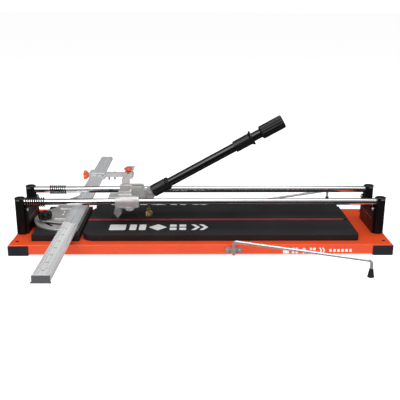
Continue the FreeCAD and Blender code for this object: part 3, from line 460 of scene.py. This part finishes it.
def line_holes():
    """Dark grommets in the four bench-screw holes, and a thin light grey line along each end plate."""
    mounts = {m["name"]: m for m in frame["record"]["mounts"]}
    dims = mounts["bench_screw_holes"]["dims"]
    top = corners("base_tray")[1].z
    mesh = bmesh.new()
    section = [(-4, 2.9), (0.1, 2.9), (0.1, 5.2), (0.6, 5), (0.8, 4.2), (0.2, 2.5), (-4, 2.3)]
    for sx, sy in ((1, 1), (-1, 1), (-1, -1), (1, -1)):
        centre = Vector((sx * dims["spacing_x_mm"] / 2, sy * dims["spacing_y_mm"] / 2, 0)) * MM
        turned(mesh, centre, Z, [(top + rise * MM, radius * MM) for rise, radius in section], 28,
               closed=True)
    add_piece("hole_grommets", finish_mesh(mesh, "hole_grommets"), "base", "tip_rubber")
    # A thin light grey strip is laid along the face of each end plate.
    line_low, line_high, line_margin = 74.5 * MM, 75.7 * MM, 9 * MM
    for name, side in (("end_plate_left", 1), ("end_plate_right", -1)):
        low, high = corners(name)
        face = high.x if side > 0 else low.x
        mesh = bmesh.new()
        slab(mesh, Vector((face, 0, 0)), 0.5 * MM, (high.y - low.y) / 2 - line_margin, line_low, line_high)
        add_piece(f"{name}_light_line", finish_mesh(mesh, name), "base", "collar_grey")


# ------------------------------------------------------------------ fence: scales

def mark_scale():
    """Half-centimetre lines from the breaking rib with numerals in cm, and lines on the bare ruler."""
    low, high = corners("fence_scale")
    top, step, inset = high.z, 5 * MM, 1.2 * MM
    margin_front, margin_rear = 8 * MM, 45 * MM
    nearest, farthest = round((margin_rear - high.y) / step), round((-low.y - margin_front) / step)
    mesh = bmesh.new()
    for i in range(nearest, farthest + 1):
        y = -step * i
        long = (9 if i % 2 == 0 else 5) * MM
        for edge, side in ((low.x + inset, 1), (high.x - inset, -1)):
            spot = Vector((edge + side * long / 2, y, 0))
            slab(mesh, spot, long / 2, 0.32 * MM, top - SUNK, top + LINE_PROUD)
        if i % 10 == 0:
            place = Matrix.Translation(Vector(((low.x + high.x) / 2, y, top + 0.03 * MM)))
            add_number(mesh, str(i // 2), 9.5 * MM, place)
    rule = Vector((low.x + 12.5 * MM, -step * (nearest + farthest) / 2, 0))
    slab(mesh, rule, 0.2 * MM, step * (farthest - nearest) / 2, top - SUNK, top + 0.06 * MM)
    add_piece("scale_marks", finish_mesh(mesh, "scale_marks"), "fence", "mark_black")
    rear_low, rear_top = corners("fence_ruler")
    mesh = bmesh.new()
    pitch = 10 * MM
    for i in range(int((rear_top.y - high.y - 2 * pitch) / pitch)):
        long = (9 if i % 5 == 0 else 5) * MM
        spot = Vector((rear_low.x + MM + long / 2, high.y + pitch + pitch * i, 0))
        slab(mesh, spot, long / 2, 0.3 * MM, rear_top.z - SUNK, rear_top.z + LINE_PROUD)
    add_piece("ruler_marks", finish_mesh(mesh, "ruler_marks"), "fence", "mark_black")


def mark_dial():
    """Angle ticks on the dial's rim, every five degrees and longer every fifteen."""
    low, high = corners("protractor_dial")
    bolt = middle("swivel_bolt")
    outer = bolt.x - low.x
    mesh = bmesh.new()
    for degrees in range(95, 270, 5):
        angle = math.radians(degrees)
        arm = Vector((math.cos(angle), math.sin(angle), 0))
        long = (5 if degrees % 15 == 0 else 3) * MM
        centre = bolt + arm * (outer - 1.5 * MM - long / 2)
        slab(mesh, centre, long / 2, 0.3 * MM, high.z - 2 * SUNK, high.z + SUNK, turn=angle)
    add_piece("dial_marks", finish_mesh(mesh, "dial_marks"), "base", "mark_black")


# ------------------------------------------------------------------ knobs, tips and the rest

def make_knobs():
    """Moulded knobs with soft lobes: black star on the dial, orange trilobes on the stop."""
    low, high = corners("lock_knob")
    centre, wide, tall = middle("lock_knob"), (high.y - low.y) / 2, high.z - low.z
    base = Vector((centre.x, centre.y, low.z))
    mesh = bmesh.new()
    turned(mesh, base, Z, [(0, wide * 0.86), (1.2 * MM, wide * 0.9), (tall * 0.45, wide * 0.99),
                           (tall * 0.72, wide), (tall * 0.86, wide * 0.95), (tall * 0.95, wide * 0.82),
                           (tall * 0.985, wide * 0.6), (tall, wide * 0.38), (tall * 0.97, wide * 0.32),
                           (tall * 0.97, wide * 0.05)], 96, lobes=6, depth=0.36)
    add_piece("lock_knob_star", finish_mesh(mesh, "lock_knob_star"), "fence_lock", "grip_plastic",
              replaces=("lock_knob",))
    low, high = corners("arm_knob")
    stud = middle("arm_stud")
    trilobe("arm_knob_trilobe", Vector((stud.x, stud.y, low.z)), Z, (high.y - low.y) / 2,
            high.z - low.z, "finger_clamp", "arm_knob")
    low, high = corners("stop_knob")
    screw = middle("stop_screw")
    trilobe("stop_knob_trilobe", Vector((high.x, screw.y, screw.z)), -X, (high.y - low.y) / 2,
            high.x - low.x, "stop_clamp", "stop_knob")


def trilobe(name, foot, axis, wide, tall, body, node):
    """Orange three-lobed knob that swells from a narrow black foot."""
    mesh = bmesh.new()
    turned(mesh, foot, axis, [(tall * 0.08, wide * 0.46), (tall * 0.2, wide * 0.6),
                              (tall * 0.42, wide * 0.95), (tall * 0.6, wide), (tall * 0.8, wide * 0.98),
                              (tall * 0.92, wide * 0.86), (tall * 0.985, wide * 0.62), (tall, wide * 0.3),
                              (tall, wide * 0.04)], 96, lobes=3, depth=0.42)
    add_piece(name, finish_mesh(mesh, name), body, "knob_orange", replaces=(node,))
    mesh = bmesh.new()
    turned(mesh, foot, axis, [(0, wide * 0.4), (tall * 0.02, wide * 0.44), (tall * 0.07, wide * 0.46),
                              (tall * 0.1, wide * 0.4)], 48)
    add_piece(f"{name}_foot", finish_mesh(mesh, name), body, "grip_plastic")


def tilt_of(name):
    """Tilt of a round bar lying in the XZ plane, worked out from the sides of its box."""
    low, high = corners(name)
    span, bore = high - low, high.y - low.y
    flat, steep = 0.0, math.pi / 3
    for _ in range(40):
        tilt = (flat + steep) / 2
        length = (span.x - bore * math.sin(tilt)) / math.cos(tilt)
        if length * math.sin(tilt) + bore * math.cos(tilt) < span.z:
            flat = tilt
        else:
            steep = tilt
    return tilt


def along_handle(name, axis, tilt):
    """(middle of the lower end, radius, length) of a round CAD node lying along the handle."""
    low, high = corners(name)
    radius = (high.y - low.y) / 2
    length = ((high - low).x - 2 * radius * math.sin(tilt)) / math.cos(tilt)
    return middle(name) - axis * length / 2, radius, length


def make_handle_trim():
    """Fluted end grip and a stout lipped collar, turned about the axis of the handle tube."""
    tilt = tilt_of("handle_tube")
    axis = Vector((math.cos(tilt), 0, math.sin(tilt)))
    foot, wide, long = along_handle("end_grip", axis, tilt)
    mesh = bmesh.new()
    turned(mesh, foot, axis, [(0, wide * 0.72), (0.8 * MM, wide * 0.86), (3 * MM, wide * 0.97),
                              (6 * MM, wide), (long - 5 * MM, wide), (long - 2 * MM, wide * 0.97),
                              (long - 0.5 * MM, wide * 0.9), (long, wide * 0.8),
                              (long - MM, wide * 0.5), (long - MM, wide * 0.1)], 160, lobes=16, depth=0.07)
    add_piece("end_grip_fluted", finish_mesh(mesh, "end_grip_fluted"), "handle", "grip_plastic",
              replaces=("end_grip",))
    foot, wide, long = along_handle("handle_collar", axis, tilt)
    reach = wide * 1.14
    mesh = bmesh.new()
    turned(mesh, foot, axis, [(0, wide * 0.7), (0.5 * MM, reach - 1.5 * MM), (2 * MM, reach),
                              (long * 0.78, reach), (long * 0.8, reach - 0.8 * MM),
                              (long * 0.82, reach - 0.8 * MM), (long * 0.84, reach), (long - 2 * MM, reach),
                              (long - 0.5 * MM, reach - 1.5 * MM), (long, wide * 0.83)], 72)
    add_piece("handle_collar_turned", finish_mesh(mesh, "handle_collar_turned"), "handle", "grip_plastic",
              replaces=("handle_collar",))


def edge_rear_mat():
    """Rubber edging strip along the back of the rear mat, towards the back edge of the tray."""
    low, high = corners("mat_rear")
    tray_back = corners("base_tray")[1].y
    deep = (tray_back - high.y) * 0.62
    lap, end_gap, step_down = MM, 4 * MM, 0.8 * MM
    centre = Vector(((low.x + high.x) / 2, high.y + deep / 2 - lap, 0))
    mesh = bmesh.new()
    slab(mesh, centre, (high.x - low.x) / 2 - end_gap, deep / 2 + lap, low.z, high.z - step_down,
         corner=6 * MM)
    add_piece("mat_rear_edging", finish_mesh(mesh, "mat_rear_edging"), "base", "mat_rubber")


def make_arm_tips():
    """Ribbed rubber boots at the ends of the side arms, narrowing up to the wire."""
    for row in ("front", "rear"):
        name = f"arm_tip_{row}"
        low, high = corners(name)
        centre = (low + high) / 2
        foot = Vector((centre.x, centre.y, low.z))
        wide, tall = (high.x - low.x) / 2, high.z - low.z
        mouth = 4.3 * MM
        profile = [(0, wide * 0.9), (0.8 * MM, wide)]
        for i in range(4):
            level = tall * (0.12 + 0.2 * i)
            radius = wide * (1 - 0.09 * i)
            groove = radius * 0.9
            profile += [(level, radius), (level + 1.2 * MM, groove), (level + 3 * MM, groove)]
        profile += [(tall * 0.93, wide * 0.66), (tall, wide * 0.55), (tall, mouth)]
        mesh = bmesh.new()
        turned(mesh, foot, Z, profile, 40)
        add_piece(f"{name}_boot", finish_mesh(mesh, name), f"swing_arm_{row}", "tip_rubber",
                  replaces=(name,))


# ------------------------------------------------------------------ studio

def look_matrix(position, forward, roll=0.0):
    """Placement of a camera or light that looks along forward, level apart from its roll."""
    right = forward.cross(Z).normalized()
    up = right.cross(forward)
    turned_right = right * math.cos(roll) + up * math.sin(roll)
    turned_up = up * math.cos(roll) - right * math.sin(roll)
    turn = Matrix((turned_right, turned_up, -forward)).transposed()
    return Matrix.Translation(position) @ turn.to_4x4()


def add_camera():
    """Long-lens camera a little above the tool, square to its front."""
    pitch, yaw, roll = math.radians(16.96), math.radians(-0.72), math.radians(0.12)
    level = Vector((-math.sin(yaw), math.cos(yaw), 0))
    forward = level * math.cos(pitch) - Z * math.sin(pitch)
    data = bpy.data.cameras.new("camera")
    data.sensor_width = 36
    data.lens = 57.6
    data.clip_end = 100
    camera = bpy.data.objects.new("camera", data)
    camera.matrix_world = look_matrix(Vector((-0.02506, -1.8811, 0.6887)), forward, roll)
    bpy.context.scene.collection.objects.link(camera)
    bpy.context.scene.camera = camera


def add_softbox(name, position, size, power):
    """Square area light aimed at the middle of the tool."""
    data = bpy.data.lights.new(name, "AREA")
    data.size = size
    data.energy = power
    light = bpy.data.objects.new(name, data)
    forward = (Z * 0.1 - Vector(position)).normalized()
    light.matrix_world = look_matrix(Vector(position), forward)
    bpy.context.scene.collection.objects.link(light)


def add_card(name, centre, half_wide, half_high):
    """Black upright card that the camera doesn't see, for the polished parts to reflect."""
    mesh = bmesh.new()
    slab(mesh, Vector((0, 0, 0)), half_wide, half_high, -MM, MM)
    data = finish_mesh(mesh, name)
    card = bpy.data.objects.new(name, data)
    bpy.context.scene.collection.objects.link(card)
    card.matrix_world = Matrix.Translation(Vector(centre)) @ Matrix.Rotation(math.radians(90), 4, "X")
    card.visible_camera = False
    card.visible_shadow = False
    card.visible_diffuse = False
    shader = Shader("card_black")
    cloud = shader.noise(3.0, 2)
    shader.colour(shader.tint(cloud, [(0.2, (0.01, 0.01, 0.01)), (0.8, (0.015, 0.015, 0.015))]))
    shader.roughness(shader.spread(cloud, 0.85, 0.95))
    data.materials.append(shader.material)


def add_world():
    """Soft white all round, dimmer low down so that polished parts have something dark to show."""
    world = bpy.data.worlds.new("studio")
    bpy.context.scene.world = world
    world.use_nodes = True
    tree = world.node_tree
    place = tree.nodes.new("ShaderNodeTexCoord")
    split = tree.nodes.new("ShaderNodeSeparateXYZ")
    ramp = tree.nodes.new("ShaderNodeValToRGB")
    tree.links.new(place.outputs["Generated"], split.inputs["Vector"])
    tree.links.new(split.outputs["Z"], ramp.inputs["Fac"])
    tree.links.new(ramp.outputs["Color"], tree.nodes["Background"].inputs["Color"])
    ramp.color_ramp.elements[0].position = 0.3
    ramp.color_ramp.elements[0].color = (0.07, 0.07, 0.075, 1)
    ramp.color_ramp.elements[1].position = 0.65
    ramp.color_ramp.elements[1].color = (1.0, 1.0, 1.0, 1)
    tree.nodes["Background"].inputs["Strength"].default_value = 0.6


def add_floor():
    """White paper floor out to a far wall all round, both lit a little from within."""
    grid = bmesh.new()
    bmesh.ops.create_grid(grid, x_segments=1, y_segments=1, size=70)
    data = bpy.data.meshes.new("floor")
    grid.to_mesh(data)
    grid.free()
    floor = bpy.data.objects.new("floor", data)
    bpy.context.scene.collection.objects.link(floor)
    shader = Shader("floor_paper", Emission_Color=(1, 1, 1, 1), Emission_Strength=0.62)
    cloud = shader.noise(2.0, 3)
    shader.colour(shader.tint(cloud, [(0.2, (0.78, 0.78, 0.78)), (0.8, (0.8, 0.8, 0.8))]))
    shader.roughness(shader.spread(cloud, 0.85, 0.95))
    shader.surface.inputs["Specular IOR Level"].default_value = 0.05
    data.materials.append(shader.material)
    floor.visible_glossy = False
    ring = bmesh.new()
    bmesh.ops.create_cone(ring, segments=48, radius1=66, radius2=66, depth=60)
    around = bpy.data.meshes.new("far_wall")
    ring.to_mesh(around)
    ring.free()
    around.materials.append(shader.material)
    wall = bpy.data.objects.new("far_wall", around)
    bpy.context.scene.collection.objects.link(wall)
    wall.visible_glossy = False
    wall.visible_diffuse = False


def add_studio():
    """Pale floor and horizon, a broad key on the left, a fill on the right and a third box overhead."""
    bpy.context.scene.view_settings.view_transform = "Standard"
    add_world()
    add_floor()
    add_card("front_card", (0, -2.1, 0.2), 2.6, 0.62)
    add_card("rear_card", (0, 1.7, 1.85), 3.2, 1.9)
    add_softbox("key", (-1.3, -1.7, 2.3), 1.6, 26)
    add_softbox("fill", (1.9, -1.5, 1.6), 1.4, 9)
    add_softbox("top", (0.2, 0.1, 2.6), 1.6, 22)


for node in NODES.values():
    smooth_shading(node.data, sharp=32)
round_castings()
soften(["base_tray", "protractor_plinth", "end_plate_left", "end_plate_right", "stop_crossbar", "stop_arm",
        "ruler_end_cap", "wheel_holder", "arm_bracket_front", "arm_bracket_rear"], 0.6)
print_signs()
trim_posts()
line_holes()
mark_scale()
mark_dial()
make_knobs()
make_arm_tips()
make_handle_trim()
edge_rear_mat()
add_camera()
add_studio()
